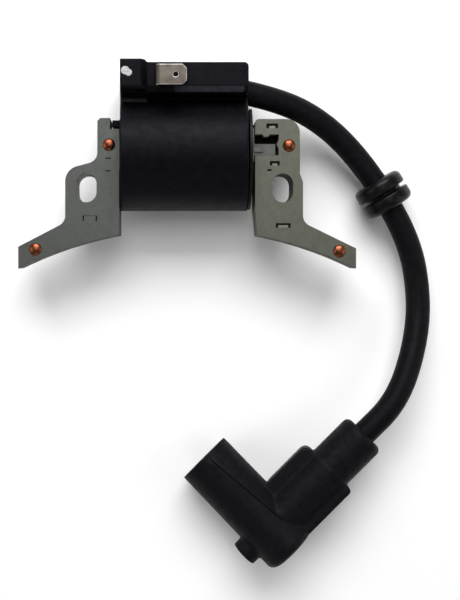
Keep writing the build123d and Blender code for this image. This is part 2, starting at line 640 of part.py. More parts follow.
with BuildPart() as shroud_grommet:
    with BuildSketch(Plane(origin=grommet_middle - grommet_dir * GROMMET_T / 2, z_dir=grommet_dir)):
        Circle(GROMMET_R)
    extrude(amount=GROMMET_LIP_W)
    with BuildSketch(Plane(origin=grommet_middle - grommet_dir * GROMMET_T / 2, z_dir=grommet_dir)):
        Circle(GROMMET_GROOVE_R)
    extrude(amount=GROMMET_T)
    with BuildSketch(Plane(origin=grommet_middle + grommet_dir * GROMMET_GROOVE_W / 2, z_dir=grommet_dir)):
        Circle(GROMMET_R)
    extrude(amount=GROMMET_LIP_W)
    fillet(circles(shroud_grommet, GROMMET_R), GROMMET_ROUND)
    with BuildSketch(Plane(origin=grommet_middle - grommet_dir * GROMMET_T, z_dir=grommet_dir)):
        Circle(GROMMET_BORE_R)
    extrude(amount=2 * GROMMET_T, mode=Mode.SUBTRACT)
save(shroud_grommet, "shroud_grommet")

# ---- Spark plug cap ----------------------------------------------------------------------------
elbow = Vector(*CAP_ELBOW)
cable_dir = Vector(*CABLE_DIR)
plug_dir = Vector(*PLUG_DIR)
cap_plane = Plane(origin=elbow, x_dir=cable_dir, z_dir=cable_dir.cross(plug_dir))


def along_cable(distance):
    """Plane across the cable arm, facing the coil."""
    return Plane(origin=elbow + cable_dir * distance, z_dir=cable_dir)


def along_plug(distance):
    """Plane across the plug arm, facing its mouth."""
    return Plane(origin=elbow + plug_dir * distance, z_dir=plug_dir)


with BuildPart() as cap_boot:
    with BuildSketch(along_plug(-PLUG_TAIL)):
        Circle(PLUG_TUBE_R)
    extrude(amount=PLUG_TAIL + PLUG_MOUTH)
    tail_rim = circles(cap_boot, PLUG_TUBE_R).sort_by(Axis(CAP_ELBOW, PLUG_DIR))[0]
    fillet(tail_rim, TAIL_ROUND)
    with BuildSketch(along_cable(0)):
        Circle(CABLE_BODY_R)
    extrude(amount=CABLE_BODY_END)
    with BuildSketch(along_cable(0)):
        Circle(COLLAR_R)
    extrude(amount=COLLAR_END)
    collar_rim = circles(cap_boot, COLLAR_R).sort_by(Axis(CAP_ELBOW, CABLE_DIR))[-1]
    fillet(collar_rim, COLLAR_ROUND)
    with BuildSketch(along_cable(0)):
        Circle(BUNG_R)
    extrude(amount=-BUNG_END)
    with BuildSketch(cap_plane.offset(-FIN_HALF_T)) as fin_plan:
        with BuildLine():
            Polyline(
                (0, -FIN_FAR_SIDE),
                (CABLE_BODY_END, -FIN_FAR_SIDE),
                (CABLE_BODY_END, FIN_PLUG_SIDE),
                (FIN_START, FIN_PLUG_SIDE),
                (0, FIN_ROOT),
                close=True,
            )
        make_face()
        fillet(corner(fin_plan, CABLE_BODY_END, -FIN_FAR_SIDE), FIN_FAR_ROUND)
        fillet(corner(fin_plan, CABLE_BODY_END, FIN_PLUG_SIDE), FIN_PLUG_ROUND)
    extrude(amount=2 * FIN_HALF_T)
    with BuildSketch(along_plug(PLUG_CHAMBER_FLOOR)):
        Circle(PLUG_CHAMBER_R)
    extrude(amount=PLUG_MOUTH - PLUG_BORE_L - PLUG_CHAMBER_FLOOR, mode=Mode.SUBTRACT)
    with BuildSketch(along_plug(PLUG_MOUTH - PLUG_BORE_L)):
        Circle(PLUG_BORE_R)
    extrude(amount=PLUG_BORE_L, mode=Mode.SUBTRACT)
    with BuildSketch(along_cable((route[-1] - elbow).length)):
        Circle(CABLE_BORE_R)
    extrude(amount=COLLAR_END, mode=Mode.SUBTRACT)
    with BuildSketch(along_cable(0)):
        Circle(SPIKE_R)
    extrude(amount=COLLAR_END, mode=Mode.SUBTRACT)
    with BuildSketch(along_plug(-TERMINAL_FOOT)):
        Circle(TERMINAL_R)
    extrude(amount=2 * TERMINAL_FOOT, mode=Mode.SUBTRACT)
save(cap_boot, "cap_boot")

with BuildPart() as cap_terminal:
    with BuildSketch(along_plug(-TERMINAL_FOOT)):
        Circle(TERMINAL_R)
    extrude(amount=SLEEVE_FOOT + TERMINAL_FOOT)
    with BuildSketch(along_cable(0)):
        Circle(SPIKE_R)
    extrude(amount=(route[-1] - elbow).length + SPIKE_IN_LEAD)
    with BuildSketch(along_plug(PLUG_CHAMBER_FLOOR)):
        Circle(SLEEVE_R)
    extrude(amount=SLEEVE_FOOT - PLUG_CHAMBER_FLOOR)
save(cap_terminal, "cap_terminal")

with BuildPart() as cap_socket_sleeve:
    with BuildSketch(along_plug(SLEEVE_FOOT)):
        Circle(SLEEVE_R)
        Circle(SLEEVE_R - SLEEVE_WALL, mode=Mode.SUBTRACT)
    extrude(amount=SLEEVE_TOP - SLEEVE_FOOT)
save(cap_socket_sleeve, "cap_socket_sleeve")

with BuildPart() as cap_clip_ring:
    with Locations(along_plug(SLEEVE_TOP - CLIP_DEPTH).location):
        Torus(CLIP_RING_R, CLIP_WIRE_R)
save(cap_clip_ring, "cap_clip_ring")
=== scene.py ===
import math
import random

import bmesh
import bpy
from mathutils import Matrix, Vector
from mathutils.geometry import delaunay_2d_cdt


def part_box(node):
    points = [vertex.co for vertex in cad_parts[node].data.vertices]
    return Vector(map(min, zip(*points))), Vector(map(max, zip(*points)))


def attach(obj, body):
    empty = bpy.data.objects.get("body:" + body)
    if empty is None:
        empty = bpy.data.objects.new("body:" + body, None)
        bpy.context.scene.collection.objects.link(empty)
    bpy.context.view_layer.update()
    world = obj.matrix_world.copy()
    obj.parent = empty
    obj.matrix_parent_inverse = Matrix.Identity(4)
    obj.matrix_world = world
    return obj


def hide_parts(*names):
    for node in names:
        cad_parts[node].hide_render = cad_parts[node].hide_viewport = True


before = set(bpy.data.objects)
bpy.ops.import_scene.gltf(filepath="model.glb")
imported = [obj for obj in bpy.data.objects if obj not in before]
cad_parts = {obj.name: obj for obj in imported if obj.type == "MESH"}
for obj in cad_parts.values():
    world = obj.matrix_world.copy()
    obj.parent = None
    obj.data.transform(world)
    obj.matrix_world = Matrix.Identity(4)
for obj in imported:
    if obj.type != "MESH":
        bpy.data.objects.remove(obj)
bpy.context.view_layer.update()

# A flywheel ignition coil round its CAD frame, in metres. MM is one millimetre.
MM = 0.001
random.seed(7)

# ---- Camera, straight above the coil's front -----------------------------------------------------
camera_data = bpy.data.cameras.new("camera")
camera_data.sensor_width = 36.0
camera_data.lens = 58.125
camera_data.shift_x = 0.09
camera_data.shift_y = -0.0717
camera_data.clip_start = 0.01
camera = bpy.data.objects.new("camera", camera_data)
camera.location = (-0.00272, -0.02208, 0.322)
bpy.context.scene.collection.objects.link(camera)
bpy.context.scene.camera = camera

# ---- The lead's route, from the coil to the cap --------------------------------------------------
LEAD_ROUTE = [
    (0.0110, 0.0328, 0.0085),
    (0.0290, 0.0301, 0.0056),
    (0.0466, 0.0229, -0.0014),
    (0.0613, 0.0080, -0.0036),
    (0.0755, -0.0155, -0.0036),
    (0.0793, -0.0355, -0.0045),
    (0.0769, -0.0523, -0.0010),
    (0.0701, -0.0698, 0.0024),
    (0.0581, -0.0815, 0.0024),
    (0.0460, -0.0936, 0.0024),
]
LEAD_D = 8.0 * MM


def cord_curve(name, points, diameter):
    """A smooth round cord whose control points are the route's."""
    data = bpy.data.curves.new(name, "CURVE")
    data.dimensions = "3D"
    data.resolution_u = 24
    data.bevel_depth = diameter / 2
    data.bevel_resolution = 10
    data.use_fill_caps = True
    spline = data.splines.new("NURBS")
    spline.points.add(len(points) - 1)
    for point, place in zip(spline.points, points):
        point.co = (*place, 1.0)
    spline.order_u = 3
    spline.use_endpoint_u = True
    obj = bpy.data.objects.new(name, data)
    bpy.context.scene.collection.objects.link(obj)
    return obj


lead = cord_curve("plug_lead", LEAD_ROUTE, LEAD_D)


# ---- Material helpers ----------------------------------------------------------------------------
NOISE_LOW, NOISE_HIGH = 0.3, 0.7  # most of a noise texture's values lie between these


def scaled(color, factor, limit=1.0):
    """A colour made darker or lighter, each channel up to a limit."""
    return [min(limit, factor * channel) for channel in color]


class Finish:
    """A procedural material: a Principled surface with layers of noise for colour, gloss and relief."""

    def __init__(self, name, color, roughness, metallic=0.0, **inputs):
        self.material = bpy.data.materials.new(name)
        self.material.use_nodes = True
        self.nodes = self.material.node_tree.nodes
        self.links = self.material.node_tree.links
        self.surface = self.nodes["Principled BSDF"]
        self.coords = self.nodes.new("ShaderNodeTexCoord")
        self.surface.inputs["Base Color"].default_value = (*color, 1)
        self.surface.inputs["Roughness"].default_value = roughness
        self.surface.inputs["Metallic"].default_value = metallic
        for label, value in inputs.items():
            self.surface.inputs[label.replace("_", " ")].default_value = value
        self.relief = None

    def place(self, stretch=(1, 1, 1)):
        """Object coordinates, stretched along each axis."""
        mapping = self.nodes.new("ShaderNodeMapping")
        mapping.inputs["Scale"].default_value = stretch
        self.links.new(self.coords.outputs["Object"], mapping.inputs["Vector"])
        return mapping.outputs["Vector"]

    def noise(self, size, detail=4.0, stretch=(1, 1, 1), rough=0.55):
        """Noise whose features are about size metres across."""
        texture = self.nodes.new("ShaderNodeTexNoise")
        texture.inputs["Scale"].default_value = 1 / size
        texture.inputs["Detail"].default_value = detail
        texture.inputs["Roughness"].default_value = rough
        self.links.new(self.place(stretch), texture.inputs["Vector"])
        return texture.outputs["Fac"]

    def ramp(self, factor, stops):
        """Colours along a factor, as (position, colour) stops."""
        ramp = self.nodes.new("ShaderNodeValToRGB")
        while len(ramp.color_ramp.elements) < len(stops):
            ramp.color_ramp.elements.new(0.5)
        for element, (position, color) in zip(ramp.color_ramp.elements, stops):
            element.position = position
            element.color = (*color, 1)
        self.links.new(factor, ramp.inputs["Fac"])
        return ramp.outputs["Color"]

    def paint(self, source):
        """The surface's colour from a node's output."""
        self.links.new(source, self.surface.inputs["Base Color"])
        return self

    def vary(self, label, factor, low, high):
        """One of the surface's inputs between low and high by a factor."""
        span = self.nodes.new("ShaderNodeMapRange")
        span.inputs["From Min"].default_value = NOISE_LOW
        span.inputs["From Max"].default_value = NOISE_HIGH
        span.inputs["To Min"].default_value = low
        span.inputs["To Max"].default_value = high
        self.links.new(factor, span.inputs["Value"])
        self.links.new(span.outputs["Result"], self.surface.inputs[label])
        return self

    def gloss(self, factor, low, high):
        """Roughness between low and high by a factor."""
        return self.vary("Roughness", factor, low, high)

    def sheen(self, factor, low, high):
        """Specular level between low and high by a factor."""
        return self.vary("Specular IOR Level", factor, low, high)

    def bump(self, height, depth, strength=1.0):
        """Relief of a height field, depth metres deep, over any relief already there."""
        node = self.nodes.new("ShaderNodeBump")
        node.inputs["Distance"].default_value = depth
        node.inputs["Strength"].default_value = strength
        self.links.new(height, node.inputs["Height"])
        if self.relief is not None:
            self.links.new(self.relief, node.inputs["Normal"])
        self.relief = node.outputs["Normal"]
        self.links.new(self.relief, self.surface.inputs["Normal"])
        return self


def core_steel(name, tint):
    """Rolled electrical steel with its thin grey insulating coat, faintly blotched."""
    finish = Finish(name, tint, 0.5, 0.85)
    blotch = finish.noise(1.6 * MM, 8.0, rough=0.68)
    stops = [(0.30, scaled(tint, 0.86)), (0.52, tint), (0.72, scaled(tint, 1.10))]
    finish.paint(finish.ramp(blotch, stops))
    finish.gloss(finish.noise(2.5 * MM, 6.0, (1, 0.25, 1)), 0.42, 0.58)
    finish.bump(finish.noise(0.35 * MM, 3.0, (1, 0.12, 1)), 0.006 * MM)
    return finish.bump(finish.noise(0.15 * MM, 2.0), 0.006 * MM).material


def sheared_edge(name, color):
    """The cut edges of the laminations, each sheet a little lighter or darker than the next."""
    finish = Finish(name, color, 0.55, 0.7)
    streak = finish.noise(0.7 * MM, 4.0, (0.12, 0.12, 1))
    stops = [(0.3, scaled(color, 0.55)), (0.6, scaled(color, 1.35)), (0.8, scaled(color, 2.3, 0.8))]
    finish.paint(finish.ramp(streak, stops))
    return finish.bump(finish.noise(0.2 * MM, 3.0, (1, 1, 0.2)), 0.015 * MM).material


def rivet_copper():
    """Drawn copper, tarnished a little."""
    finish = Finish("rivet_copper", (0.20, 0.062, 0.029), 0.30, 1.0)
    tarnish = finish.noise(1.6 * MM, 3.0)
    finish.paint(finish.ramp(tarnish, [(0.3, (0.15, 0.040, 0.017)), (0.7, (0.25, 0.082, 0.042))]))
    finish.gloss(finish.noise(1.2 * MM, 3.0), 0.28, 0.35)
    return finish.bump(finish.noise(0.9 * MM, 2.0), 0.006 * MM).material


def moulded_black(name, color, rough, grain, depth, specular):
    """Glass-filled black moulding: an even fine grain under a faint satin."""
    finish = Finish(name, color, rough, Specular_IOR_Level=specular)
    finish.surface.inputs["Specular Tint"].default_value = (0.88, 0.85, 1.0, 1)
    shade = finish.noise(2.2 * MM, 8.0, rough=0.7)
    stops = [(0.30, scaled(color, 0.6)), (0.5, color), (0.70, scaled(color, 1.7))]
    finish.paint(finish.ramp(shade, stops))
    finish.sheen(finish.noise(0.8 * MM, 6.0, rough=0.7), 0.78 * specular, 1.22 * specular)
    finish.gloss(finish.noise(3 * MM, 6.0), rough - 0.05, rough + 0.08)
    finish.bump(finish.noise(1.6 * MM, 2.0), 0.010 * MM)
    return finish.bump(finish.noise(grain, 3.0), depth).material


def rubber(name, color, dust, rough, grain, depth, specular):
    """Moulded or extruded rubber, matte, with a trace of bloom and dust."""
    finish = Finish(name, color, rough, Specular_IOR_Level=specular)
    bloom = finish.noise(4 * MM, 8.0, rough=0.66)
    finish.sheen(finish.noise(1.8 * MM, 7.0, rough=0.7), 0.6 * specular, 1.4 * specular)
    finish.paint(finish.ramp(bloom, [(0.38, color), (0.62, scaled(color, 1.3)), (0.8, dust)]))
    finish.gloss(finish.noise(2.2 * MM, 5.0), rough - 0.07, rough + 0.09)
    finish.bump(finish.noise(2.4 * MM, 2.0), 0.012 * MM)
    return finish.bump(finish.noise(grain, 3.0), depth).material


def plated(name, color, rough, stretch):
    """Plated or bare metal, with fine lines along the axis that stretch has least of."""
    finish = Finish(name, color, rough, 1.0)
    stain = finish.noise(2.5 * MM, 5.0)
    stops = [(0.3, scaled(color, 0.70)), (0.5, color), (0.75, scaled(color, 1.2))]
    finish.paint(finish.ramp(stain, stops))
    finish.gloss(finish.noise(1.5 * MM, 5.0), rough - 0.05, rough + 0.07)
    return finish.bump(finish.noise(0.22 * MM, 3.0, stretch), 0.012 * MM).material


WAVES_PER_UNIT = 3.2  # how many bands a wave texture of scale 1 draws in a metre, about


def wound_wire(name, color, pitch):
    """Enamelled copper wire, turn beside turn along X."""
    finish = Finish(name, color, 0.35, 0.9, Coat_Weight=0.4, Coat_Roughness=0.15)
    wave = finish.nodes.new("ShaderNodeTexWave")
    wave.inputs["Scale"].default_value = 1 / pitch / WAVES_PER_UNIT
    wave.inputs["Distortion"].default_value = 0.3
    finish.links.new(finish.place(), wave.inputs["Vector"])
    finish.paint(finish.ramp(wave.outputs["Fac"], [(0.0, scaled(color, 0.35)), (0.5, color)]))
    return finish.bump(wave.outputs["Fac"], pitch / 3).material


def plain(name, color, rough, specular=0.5):
    """A small part's finish, with light blotches and grain; also the painted shade in the grooves."""
    finish = Finish(name, color, rough, Specular_IOR_Level=specular)
    blotch = finish.noise(1.5 * MM, 4.0)
    finish.paint(finish.ramp(blotch, [(0.35, scaled(color, 0.8)), (0.7, scaled(color, 1.15))]))
    return finish.bump(finish.noise(0.3 * MM, 3.0), 0.01 * MM).material


def paint_dab():
    """White marking paint, thin and a little dirty."""
    finish = Finish("paint_dab", (0.40, 0.41, 0.42), 0.55)
    cover = finish.noise(0.9 * MM, 5.0)
    finish.paint(finish.ramp(cover, [(0.3, (0.24, 0.25, 0.26)), (0.6, (0.45, 0.46, 0.47))]))
    return finish.bump(finish.noise(0.5 * MM, 4.0), 0.05 * MM).material


STEEL_LEFT = core_steel("core_steel_left", (0.088, 0.092, 0.087))
STEEL_RIGHT = core_steel("core_steel_right", (0.106, 0.108, 0.087))
EDGE = sheared_edge("sheared_edge", (0.11, 0.105, 0.09))
# Painted light: a paler copy of the cut edge for the left leg's slot walls, standing in for the light
# that falls on them.
LIT_SLOT_EDGE = sheared_edge("lit_slot_edge", (0.50, 0.50, 0.47))
# Painted shade: near-black for the interlocks' grooves and the notch floor, standing in for the shade
# that falls there.
GROOVE_SHADE = plain("groove_shadow", (0.011, 0.010, 0.008), 0.9, specular=0.05)
COPPER = rivet_copper()
CASE_BLACK = moulded_black(
    "case_plastic",
    color=(0.0026, 0.0024, 0.0034),
    rough=0.44,
    grain=0.28 * MM,
    depth=0.020 * MM,
    specular=0.066,
)
# Painted highlight: a paler, glossier black for the edges where the case catches the light.
CASE_HIGHLIGHT = moulded_black(
    "case_plastic_highlight",
    color=(0.017, 0.016, 0.020),
    rough=0.46,
    grain=0.28 * MM,
    depth=0.020 * MM,
    specular=0.20,
)
BOBBIN_BLACK = moulded_black(
    "bobbin_plastic",
    color=(0.007, 0.0065, 0.0065),
    rough=0.42,
    grain=0.3 * MM,
    depth=0.012 * MM,
    specular=0.14,
)
POTTING = moulded_black(
    "potting_epoxy",
    color=(0.012, 0.012, 0.013),
    rough=0.22,
    grain=3 * MM,
    depth=0.05 * MM,
    specular=0.34,
)
LEAD_RUBBER = rubber(
    "lead_rubber",
    color=(0.0031, 0.0030, 0.0042),
    dust=(0.0060, 0.0060, 0.0070),
    rough=0.46,
    grain=0.30 * MM,
    depth=0.010 * MM,
    specular=0.066,
)
GROMMET_RUBBER = rubber(
    "grommet_rubber",
    color=(0.0030, 0.0030, 0.0036),
    dust=(0.006, 0.006, 0.0065),
    rough=0.30,
    grain=0.35 * MM,
    depth=0.007 * MM,
    specular=0.16,
)
CAP_RUBBER = rubber(
    "cap_rubber",
    color=(0.0031, 0.0029, 0.0042),
    dust=(0.0062, 0.0060, 0.0078),
    rough=0.52,
    grain=0.26 * MM,
    depth=0.020 * MM,
    specular=0.078,
)
TIN = plated("tinned_brass", (0.095, 0.083, 0.070), 0.40, (0.1, 1, 1))
# Painted highlight: a pale tin for the spade's broken edges, where they catch the light.
TIN_HIGHLIGHT = plated("tin_highlight", (0.50, 0.48, 0.45), 0.34, (1, 1, 1))
DULL_TIN = plated("dull_tin", (0.105, 0.102, 0.095), 0.45, (1, 1, 1))
BRASS = plated("contact_brass", (0.80, 0.60, 0.30), 0.3, (1, 1, 0.1))
SPRING = plated("spring_steel", (0.62, 0.62, 0.63), 0.3, (1, 1, 1))
WIRE = wound_wire("primary_wire", (0.62, 0.24, 0.10), 0.5 * MM)
FINE_WIRE = wound_wire("secondary_wire", (0.55, 0.20, 0.08), 0.12 * MM)
BOARD_GREEN = plain("board_green", (0.03, 0.16, 0.07), 0.35)
CHIP_BLACK = plain("component_black", (0.025, 0.025, 0.026), 0.5)
CAPACITOR = plain("capacitor_dip", (0.50, 0.16, 0.05), 0.25)
DAB = paint_dab()


# ---- Mesh helpers --------------------------------------------------------------------------------
def add_object(name, mesh, materials, body, replaced=()):
    """Links a mesh as a piece on a CAD body, standing for CAD nodes."""
    for material in materials:
        mesh.materials.append(material)
    obj = bpy.data.objects.new(name, mesh)
    bpy.context.scene.collection.objects.link(obj)
    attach(obj, body)
    if replaced:
        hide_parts(*replaced)
    return obj


def smooth_by_angle(mesh, degrees):
    """Smooth shading, with edges sharper than an angle kept sharp."""
    mesh.polygons.foreach_set("use_smooth", [True] * len(mesh.polygons))
    mesh.set_sharp_from_angle(angle=math.radians(degrees))


def clean_copy(node):
    """A CAD node's mesh, closed again at its seams, with its flat faces whole, as a bmesh."""
    bm = bmesh.new()
    bm.from_mesh(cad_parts[node].data)
    bmesh.ops.remove_doubles(bm, verts=bm.verts, dist=1e-6)
    bmesh.ops.dissolve_limit(bm, angle_limit=math.radians(0.5), verts=bm.verts, edges=bm.edges)
    return bm


def to_mesh(bm, name):
    """Ends a bmesh as a mesh with outward faces."""
    bmesh.ops.recalc_face_normals(bm, faces=bm.faces)
    mesh = bpy.data.meshes.new(name)
    bm.to_mesh(mesh)
    bm.free()
    return mesh


def join_rings(bm, lower, upper, index=0):
    """Quads between two rings of as many corners, of one material."""
    count = len(lower)
    for i in range(count):
        j = (i + 1) % count
        face = bm.faces.new((lower[i], lower[j], upper[j], upper[i]))
        face.material_index = index


def close_ring(bm, ring, place):
    """Triangles between a ring and one new corner."""
    pole = bm.verts.new(place)
    for corner, following in zip(ring, ring[1:] + ring[:1]):
        bm.faces.new((corner, following, pole))


def broken_edges(node, name, width, materials):
    """The node, on the root body, with its sharp edges broken and the last of its materials on them."""
    bm = clean_copy(node)
    sharp = [e for e in bm.edges if len(e.link_faces) == 2 and e.calc_face_angle() > math.radians(30)]
    cut = bmesh.ops.bevel(
        bm, geom=sharp, offset=width, segments=2, profile=0.5, affect="EDGES", clamp_overlap=True
    )
    for face in cut["faces"]:
        face.material_index = len(materials) - 1
    mesh = to_mesh(bm, name)
    smooth_by_angle(mesh, 40)
    obj = add_object(name, mesh, materials, "root", [node])
    even = obj.modifiers.new("flat_faces_even", "WEIGHTED_NORMAL")
    even.keep_sharp = True


def moulded(bm, name, voxel, passes, keep):
    """Remeshes a closed bmesh to voxels, smooths it to moulded edges and keeps a share of its faces."""
    source = bpy.data.objects.new(name + "_source", to_mesh(bm, name + "_source"))
    bpy.context.scene.collection.objects.link(source)
    remesh = source.modifiers.new("voxels", "REMESH")
    remesh.mode = "VOXEL"
    remesh.voxel_size = voxel
    smooth = source.modifiers.new("smooth", "SMOOTH")
    smooth.factor = 0.5
    smooth.iterations = passes
    thin = source.modifiers.new("thin", "DECIMATE")
    thin.ratio = keep
    bpy.context.view_layer.update()
    ready = source.evaluated_get(bpy.context.evaluated_depsgraph_get())
    mesh = bpy.data.meshes.new_from_object(ready)
    mesh.name = name
    bpy.data.objects.remove(source)
    return mesh


# ---- Laminated core ------------------------------------------------------------------------------
SHEET_T = 0.5 * MM
SHEET_GAP = 0.02 * MM
SHEET_SHIFT = 0.03 * MM  # how far out of line a sheet may lie
RIM = 0.09 * MM  # each sheet's broken edge
GROOVE_DEPTH = 0.40 * MM  # round an interlock's tab
GROOVE_FLOOR = (0.75, 0.3)  # its floor's inner and outer edge, as shares of its width
TAB_DROP = 0.015 * MM  # how far the tab's lower edge is sunk
SHUT = 0.01  # mm, the groove's width along a side where the tab isn't cut free
FACE, CUT_EDGE, SHADOW, SLOT_WALL = range(4)  # the places of a stack's materials
FILL_SCALE = 1000  # outlines are filled in millimetres, where the fill is exact enough
FILL_MERGE = 1e-7  # corners this close are one


def loops_at(node, height):
    """The outlines of a CAD node's flat face at a height, as closed lists of (x, y)."""
    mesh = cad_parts[node].data
    near = 2e-6
    microns = 1e6  # in a metre
    places, edges = {}, {}
    for polygon in mesh.polygons:
        corners = [mesh.vertices[i].co for i in polygon.vertices]
        if all(abs(c.z - height) < near for c in corners):
            keys = [(round(c.x * microns), round(c.y * microns)) for c in corners]
            for key, c in zip(keys, corners):
                places[key] = (c.x, c.y)
            for a, b in zip(keys, keys[1:] + keys[:1]):
                pair = frozenset((a, b))
                edges[pair] = edges.get(pair, 0) + 1
    rim = {}
    for pair, count in edges.items():
        if count == 1:
            a, b = tuple(pair)
            rim.setdefault(a, []).append(b)
            rim.setdefault(b, []).append(a)
    loops = []
    while rim:
        start = min(rim)
        loop, previous, at = [start], None, start
        while True:
            following = [k for k in rim[at] if k != previous][0]
            if following == start:
                break
            loop.append(following)
            previous, at = at, following
        for key in loop:
            del rim[key]
        loops.append([places[key] for key in loop])
    return loops


def area(loop):
    """Signed area of a closed outline, positive when it runs anticlockwise."""
    return sum(a[0] * b[1] - b[0] * a[1] for a, b in zip(loop, loop[1:] + loop[:1])) / 2


def facing(loops):
    """The biggest loop anticlockwise and the others clockwise, so that the metal is on their left."""
    loops = sorted(loops, key=lambda loop: -abs(area(loop)))
    return [loop if (area(loop) > 0) == (i == 0) else loop[::-1] for i, loop in enumerate(loops)]


def inset(loop, distance):
    """The loop moved into the metal by a distance, mitred at its corners."""
    moved = []
    for before, at, after in zip(loop[-1:] + loop[:-1], loop, loop[1:] + loop[:1]):
        first = Vector((before[1] - at[1], at[0] - before[0])).normalized()
        second = Vector((at[1] - after[1], after[0] - at[0])).normalized()
        mitre = (first + second).normalized()
        reach = distance / max(0.5, mitre.dot(first))
        moved.append((at[0] + mitre.x * reach, at[1] + mitre.y * reach))
    return moved


def inside(point, loops):
    """Even-odd test of a point against closed outlines."""
    odd = False
    x, y = point
    for loop in loops:
        for (ax, ay), (bx, by) in zip(loop, loop[1:] + loop[:1]):
            if (ay > y) != (by > y) and x < (bx - ax) * (y - ay) / (by - ay) + ax:
                odd = not odd
    return odd


def filled(loops):
    """Triangles that fill outlines with holes, as indices into their points one after another."""
    points = [Vector(p) * FILL_SCALE for loop in loops for p in loop]
    edges, start = [], 0
    for loop in loops:
        count = len(loop)
        edges += [(start + i, start + (i + 1) % count) for i in range(count)]
        start += count
    made, _, faces, origin, _, _ = delaunay_2d_cdt(points, edges, [], 0, FILL_MERGE)
    back = [source[0] for source in origin]
    outlines = [[(x * FILL_SCALE, y * FILL_SCALE) for x, y in loop] for loop in loops]
    triangles = []
    for face in faces:
        middle = sum((made[i] for i in face), Vector((0, 0))) / 3
        if inside(middle, outlines):
            triangles.append([back[i] for i in face])
    return triangles


class Mark:
    """A stamped interlock: a tab with a groove along some of its sides, given in millimetres."""

    def __init__(self, x, y, width, height, left=SHUT, right=SHUT, top=SHUT, bottom=SHUT, sink=0.22):
        self.x, self.y, self.sink = x * MM, y * MM, sink * MM
        self.half_w, self.half_h = width * MM / 2, height * MM / 2
        self.grooves = [groove * MM for groove in (left, right, top, bottom)]

    def ring(self, share):
        """Four corners clockwise, moved in by a share of each side's groove."""
        left, right, top, bottom = [share * groove for groove in self.grooves]
        west, east = self.x - self.half_w + left, self.x + self.half_w - right
        south, north = self.y - self.half_h + bottom, self.y + self.half_h - top
        return [(west, south), (west, north), (east, north), (east, south)]


class Sheet:
    """One lamination's outline, filled once and stamped out at any height."""

    def __init__(self, loops, marks=(), front=FACE, slot_wall=CUT_EDGE):
        self.loops = facing(loops)
        self.marks = marks
        self.front_index = front
        self.wall_indices = [CUT_EDGE] + [slot_wall] * (len(self.loops) - 1)
        self.rims = [inset(loop, RIM) for loop in self.loops]
        self.back = filled(self.rims)
        self.front = self.back
        if marks:
            self.front = filled(self.rims + [mark.ring(0.0) for mark in marks])

    def stamp(self, bm, bottom, top, shift):
        """Adds the sheet between two heights, moved by shift."""

        def ring(points, z):
            return [bm.verts.new((x + shift[0], y + shift[1], z)) for x, y in points]

        def face(corners, index):
            bm.faces.new(corners).material_index = index

        low, high = [], []
        for loop, rim, wall_index in zip(self.loops, self.rims, self.wall_indices):
            rings = [ring(rim, bottom), ring(loop, bottom + RIM), ring(loop, top - RIM), ring(rim, top)]
            low += rings[0]
            high += rings[3]
            for lower, upper, index in zip(rings, rings[1:], (FACE, wall_index, FACE)):
                join_rings(bm, lower, upper, index)
        for triangle in self.back:
            face([low[i] for i in reversed(triangle)], FACE)
        for mark in self.marks:
            tab = ring(mark.ring(1.0), top - TAB_DROP)
            for north_corner in tab[1:3]:
                north_corner.co.z = top - mark.sink
            rings = [tab]
            rings += [ring(mark.ring(share), top - GROOVE_DEPTH) for share in GROOVE_FLOOR]
            rings += [ring(mark.ring(0.0), top)]
            high += rings[-1]
            for lower, upper in zip(rings, rings[1:]):
                join_rings(bm, lower, upper, SHADOW)
            face(tab, FACE)
        for triangle in self.front:
            face([high[i] for i in triangle], self.front_index)


def lamination_stack(name, node, layers, steel):
    """Sheets between two heights each, every one a hair out of line with the next."""
    bm = bmesh.new()
    for sheet, bottom, top in layers:
        shift = [random.uniform(-SHEET_SHIFT, SHEET_SHIFT) for _ in range(2)]
        sheet.stamp(bm, bottom + SHEET_GAP / 2, top - SHEET_GAP / 2, shift)
    mesh = to_mesh(bm, name)
    add_object(name, mesh, [steel, EDGE, GROOVE_SHADE, LIT_SLOT_EDGE], "root", [node])


def layers_between(sheet, low, high, top_sheet=None):
    """The sheets of one outline from low to high, the last of them another if given."""
    count = round((high - low) / SHEET_T)
    layers = [(sheet, low + i * SHEET_T, low + (i + 1) * SHEET_T) for i in range(count)]
    if top_sheet is not None:
        layers[-1] = (top_sheet, *layers[-1][1:])
    return layers


STACK_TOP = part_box("left_core_stack")[1].z
TONGUE_TOP = 11.0 * MM  # the crossbar's tongue is two sheets thinner than the stack
NOTCH_FLOOR = 7.5 * MM  # below this the right leg's sheets close round the tongue
left_marks = [
    Mark(-24.5, 7.5, 1.7, 4.4, top=0.38, bottom=0.34, sink=0.03),
    Mark(-30.3, -9.7, 4.6, 1.7, left=0.42, right=0.42, top=0.14, sink=0.03),
]
right_marks = [
    Mark(28.1, 19.9, 3.8, 1.5, left=0.95, right=0.95, top=0.80, sink=0.10),
    Mark(28.9, 7.9, 3.2, 1.4, left=0.85, right=0.85, top=0.75, sink=0.10),
    Mark(27.2, 5.7, 1.4, 0.6, left=0.15, right=0.15, top=0.40, bottom=0.15),
    Mark(31.6, -12.0, 4.8, 1.5, left=0.80, right=0.80, top=0.65, sink=0.12),
]
full_outline = loops_at("left_core_stack", 0.0)
short_outline = loops_at("left_core_stack", STACK_TOP)
right_outline = loops_at("right_core_stack", STACK_TOP)
closed_outline = loops_at("right_core_stack", 0.0)
# The left leg's slot walls take the paler cut edge, painted light.
left_layers = layers_between(Sheet(full_outline, slot_wall=SLOT_WALL), 0.0, TONGUE_TOP)
short_sheet = Sheet(short_outline, slot_wall=SLOT_WALL)
marked_sheet = Sheet(short_outline, left_marks, slot_wall=SLOT_WALL)
left_layers += layers_between(short_sheet, TONGUE_TOP, STACK_TOP, marked_sheet)
